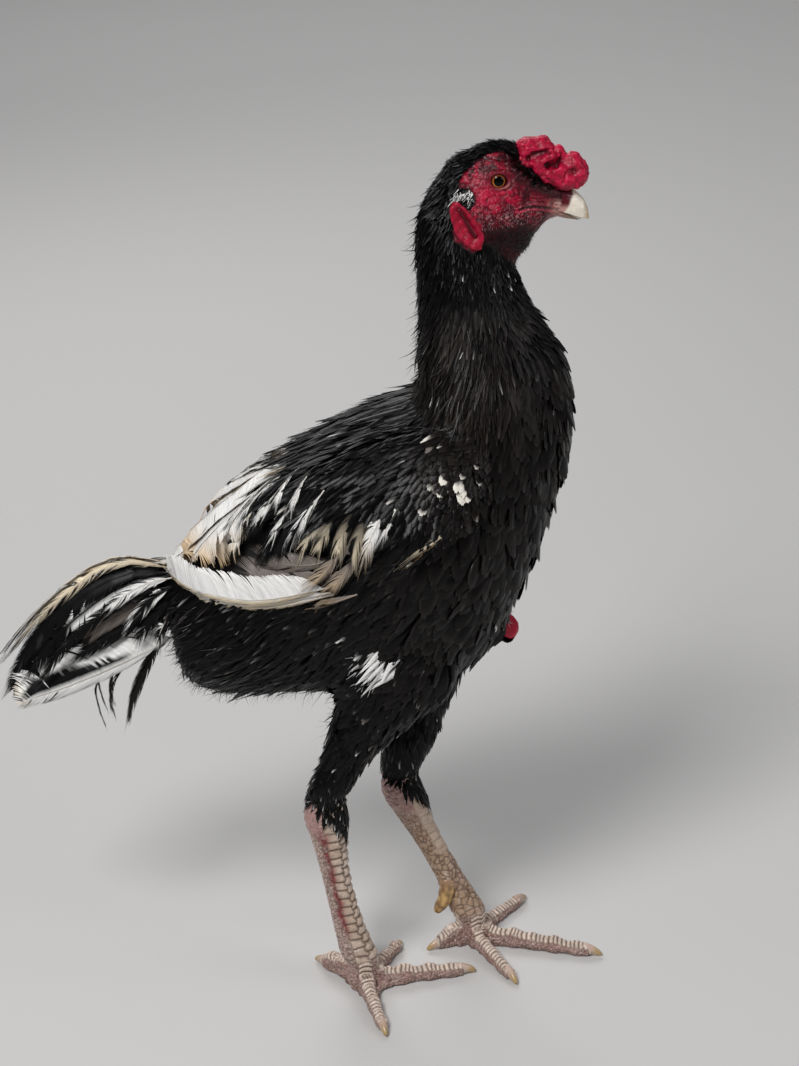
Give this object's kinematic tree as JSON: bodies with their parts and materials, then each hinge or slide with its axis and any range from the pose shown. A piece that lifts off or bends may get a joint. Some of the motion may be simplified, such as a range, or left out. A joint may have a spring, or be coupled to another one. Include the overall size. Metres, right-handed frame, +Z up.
{
  "type": "aseel chicken",
  "caption": "Life-size still model of a standing Aseel rooster, black with white wing and tail feathers, red face and lumpy comb, one foot set forward.",
  "frame": {"origin": "bottom centre of the whole bird, on the floor it stands on", "axes": "+Z up, +X forward from tail to beak, +Y to the bird's left"},
  "size_m": [0.4282, 0.1776, 0.6315],
  "materials": {
    "body_feathers": "glossy black feathers, brown-black on the breast",
    "flight_feathers": "white and cream vanes streaked with black",
    "red_skin": "bare grained skin, semi-matt",
    "leg_scales": "pale scutes with dark edges over pink skin",
    "horn": "ivory horn, satin",
    "eye": "wet gloss, amber iris with a black pupil"
  },
  "bodies": {
    "root": {"beak_lower": "horn", "beak_upper": "horn", "claw_hallux_left": "horn", "claw_hallux_right": "horn", "claw_inner_toe_left": "horn", "claw_inner_toe_right": "horn", "claw_middle_toe_left": "horn", "claw_middle_toe_right": "horn", "claw_outer_toe_left": "horn", "claw_outer_toe_right": "horn", "comb": "red_skin", "earlobe_left": "red_skin", "earlobe_right": "red_skin", "eye_left": "eye", "eye_right": "eye", "hallux_left": "leg_scales", "hallux_right": "leg_scales", "head": "red_skin", "inner_toe_left": "leg_scales", "inner_toe_right": "leg_scales", "middle_toe_left": "leg_scales", "middle_toe_right": "leg_scales", "neck_lower": "body_feathers", "neck_upper": "body_feathers", "outer_toe_left": "leg_scales", "outer_toe_right": "leg_scales", "shank_left": "leg_scales", "shank_right": "leg_scales", "spur_left": "horn", "spur_right": "horn", "tail": "flight_feathers", "thigh_left": "body_feathers", "thigh_right": "body_feathers", "torso_front": "body_feathers", "torso_rear": "body_feathers", "wing_left": "flight_feathers", "wing_right": "flight_feathers"}
  },
  "joints": []
}
